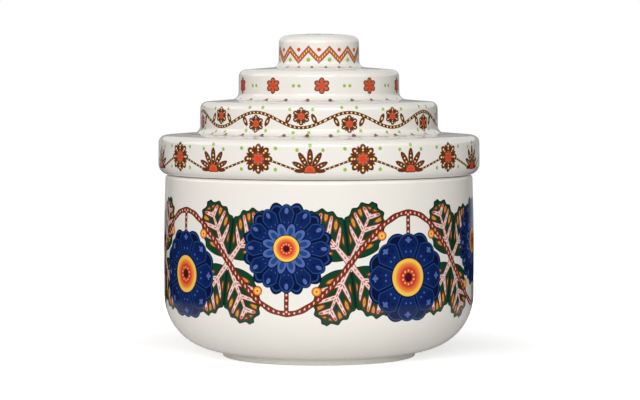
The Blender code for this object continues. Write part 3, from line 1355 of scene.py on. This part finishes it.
table, finish = stage_piece("table", circle * TABLE_RADIUS, [tuple(range(STAGE_SIDES))], TABLE_WHITE)
seen = finish.node("ShaderNodeLightPath", {}, {}, "Is Camera Ray")
camera_glow = finish.ramp(away_from_axis(finish), GLOW_REACH, GLOW)
foot_glow = finish.ramp(away_from_axis(finish), FOOT_GLOW_REACH, FOOT_GLOW)
finish.feed("Emission Color", camera_glow * seen + foot_glow)
finish.feed("Emission Strength", 1.0)
print("the table is", 2 * TABLE_RADIUS, "m wide")

# %% [markdown]
# A dark skirt lies round the jar and stands up at its own edge, a little thinner behind. Only rays that
# the glaze mirrors see it. An upright wall that is seen from a little above mirrors what lies below the
# level, and over a dark skirt the colours of the print stay deep and the jar's sides are drawn. A
# photographer lays dark card beside the object for the same reason.

# %% The skirt
SKIRT_LINE = np.array([[0.08, 0.001], [1.1, 0.001], [1.1, 0.3]])
SKIRT_DARK = (0.02, 0.02, 0.02, 1)
SKIRT_FADE = (0.1, 0.32)
BACK_FADE = (0.85, 1.02)
BACK_ALPHA = 0.68

skirt_reach, skirt_rise = SKIRT_LINE.T
skirt_vertices = circle[:, None] * skirt_reach[:, None] + np.outer(skirt_rise, [0, 0, 1])
row_size = len(SKIRT_LINE)
column = np.arange(STAGE_SIDES)[:, None] * row_size
beside = (column + row_size) % (STAGE_SIDES * row_size)
step = np.arange(row_size - 1)
skirt_corners = [column + step, beside + step, beside + step + 1, column + step + 1]
skirt_faces = np.stack(skirt_corners, 2).reshape(-1, 4).tolist()
skirt, finish = stage_piece("skirt", skirt_vertices.reshape(-1, 3), skirt_faces, SKIRT_DARK)
inner = finish.ramp(away_from_axis(finish), SKIRT_FADE, (0.0, 1.0))
back = finish.node("ShaderNodeSeparateXYZ", {}, {0: finish.place()}, "Y")
finish.feed("Alpha", least(inner, finish.ramp(back, BACK_FADE, (1.0, BACK_ALPHA))))
skirt.visible_camera = False
skirt.visible_diffuse = False
skirt.visible_shadow = False
print("the skirt has", len(skirt_faces), "faces")

# %% [markdown]
# The light is that of a product photograph: one broad soft lamp in front, higher than the jar, weak ones
# to fill the left and the right, and a little light from above and from all round. Their watts were set by
# the tones of the white glaze.

# %% The lamps
LAMP_HEIGHT = 1.2


def soft_lamp(name, turn, rise, away, width, watts, colour):
    """A rectangular lamp that faces the jar's middle from so far away.

    Its turn round from the front and its rise above the level are in degrees.
    """
    turn, rise = radians(turn), radians(rise)
    way = Vector((sin(turn) * cos(rise), -cos(turn) * cos(rise), sin(rise)))
    lamp = placed(name, bpy.data.lights.new(name, "AREA"))
    lamp.data.shape = "RECTANGLE"
    lamp.data.size = width
    lamp.data.size_y = LAMP_HEIGHT
    lamp.data.energy = watts
    lamp.data.color = colour
    lamp.location = Vector((0, 0, AIM_HEIGHT)) + way * away
    lamp.rotation_euler = (-way).to_track_quat("-Z", "Y").to_euler()
    lamp.visible_camera = False


soft_lamp("front_lamp", turn=-4, rise=20, away=1.9, width=1.8, watts=28.4, colour=(1.0, 1.0, 1.0))
soft_lamp("left_lamp", turn=-56, rise=24, away=1.9, width=1.3, watts=4.2, colour=(1.0, 0.94, 0.92))
soft_lamp("right_lamp", turn=54, rise=24, away=1.9, width=1.2, watts=6.2, colour=(1.0, 1.0, 0.95))
soft_lamp("side_lamp", turn=-98, rise=20, away=1.9, width=1.0, watts=6.5, colour=(1.0, 0.93, 0.9))
soft_lamp("top_lamp", turn=0, rise=72, away=1.8, width=1.2, watts=0.8, colour=(1.0, 0.97, 0.95))
print("lamps are set")

# %% [markdown]
# The ground behind is white to the camera and in what the glaze mirrors. To every other ray it is a dim
# grey, so that it lights the jar only a little from all round.

# %% The world
AMBIENT = 0.12
world = bpy.data.worlds.new("studio")
world.use_nodes = True
bpy.context.scene.world = world
sky = Web(world.node_tree)
kinds = ["Is Camera Ray", "Is Glossy Ray", "Is Transmission Ray"]
camera_ray, glossy_ray, clear_ray = [sky.node("ShaderNodeLightPath", {}, {}, kind) for kind in kinds]
white_rays = most(most(camera_ray, glossy_ray), clear_ray)
dim = sky.node("ShaderNodeBackground", {}, {"Color": (1, 1, 1, 1), "Strength": AMBIENT})
white = sky.node("ShaderNodeBackground", {}, {"Color": (1, 1, 1, 1), "Strength": 1.0})
ground = sky.node("ShaderNodeMixShader", {}, {0: white_rays, 1: dim, 2: white})
sky.fill(world.node_tree.nodes["World Output"].inputs["Surface"], ground)
bpy.context.scene.view_settings.view_transform = "Standard"
print("world has", len(world.node_tree.nodes), "nodes")
